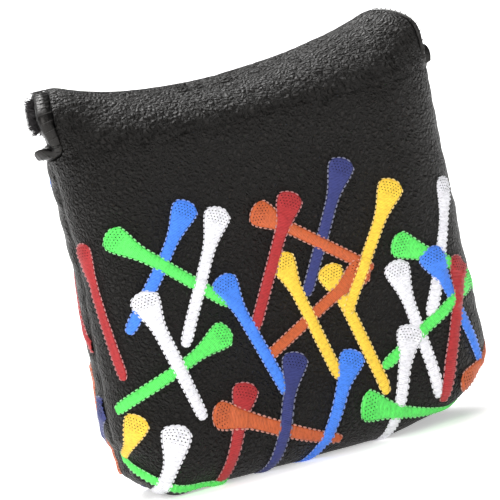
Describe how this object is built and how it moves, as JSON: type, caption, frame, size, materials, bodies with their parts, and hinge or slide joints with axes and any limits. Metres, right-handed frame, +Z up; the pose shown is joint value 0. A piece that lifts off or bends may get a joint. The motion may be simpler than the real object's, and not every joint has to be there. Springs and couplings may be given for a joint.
{
  "type": "putter head cover",
  "caption": "Padded leather head cover for a square mallet putter, with a folding crown and magnetic back flap, plush lining and embroidered golf tees on the front.",
  "frame": {"origin": "middle of the cover's bounding box at the level of its sole, where it stands", "axes": "+Z up from the sole to the crown, +X to the right seen from the decorated front, the front faces -Y and the flap hangs on +Y"},
  "size_m": [0.1226, 0.0512, 0.1243],
  "materials": {
    "leather": "soft pebble grain, semi-matt, nearly black",
    "binding": "smooth, slightly shiny leather tape",
    "foam": "open-cell foam",
    "plush": "charcoal plush pile",
    "tape": "woven tape",
    "magnet": "nickel-plated disc",
    "thread_red": "satin embroidery thread",
    "thread_orange": "satin embroidery thread",
    "thread_yellow": "satin embroidery thread",
    "thread_green": "satin embroidery thread",
    "thread_blue": "satin embroidery thread",
    "thread_navy": "satin embroidery thread",
    "thread_white": "satin embroidery thread",
    "thread_dark": "sewing thread"
  },
  "bodies": {
    "pocket": {"front_panel": "leather", "front_padding": "foam", "front_lining": "plush", "back_panel": "leather", "back_padding": "foam", "back_lining": "plush", "seam_welt": "tape", "left_edge_binding": "binding", "right_edge_binding": "binding", "mouth_binding": "binding", "pocket_magnet_left": "magnet", "pocket_magnet_right": "magnet", "pocket_magnet_pouch_left": "tape", "pocket_magnet_pouch_right": "tape"},
    "crown": {"crown_panel": "leather", "crown_padding": "foam", "crown_lining": "plush", "crown_binding_left": "binding", "crown_binding_right": "binding"},
    "flap": {"flap_panel": "leather", "flap_padding": "foam", "flap_lining": "plush", "flap_binding": "binding", "flap_magnet_left": "magnet", "flap_magnet_right": "magnet", "flap_magnet_pouch_left": "tape", "flap_magnet_pouch_right": "tape"}
  },
  "joints": [
    {"name": "flap_fold", "type": "hinge", "parent": "crown", "child": "flap", "pos_m": [0, 0.01484, 0.12104], "axis": [1, 0, 0], "range_deg": [0, 90]},
    {"name": "crown_fold", "type": "hinge", "parent": "pocket", "child": "crown", "pos_m": [0, -0.01524, 0.12104], "axis": [1, 0, 0], "range_deg": [0, 67.5]}
  ],
  "couplings": [
    {"joint": "crown_fold", "follows": "flap_fold", "ratio": 0.75}
  ]
}
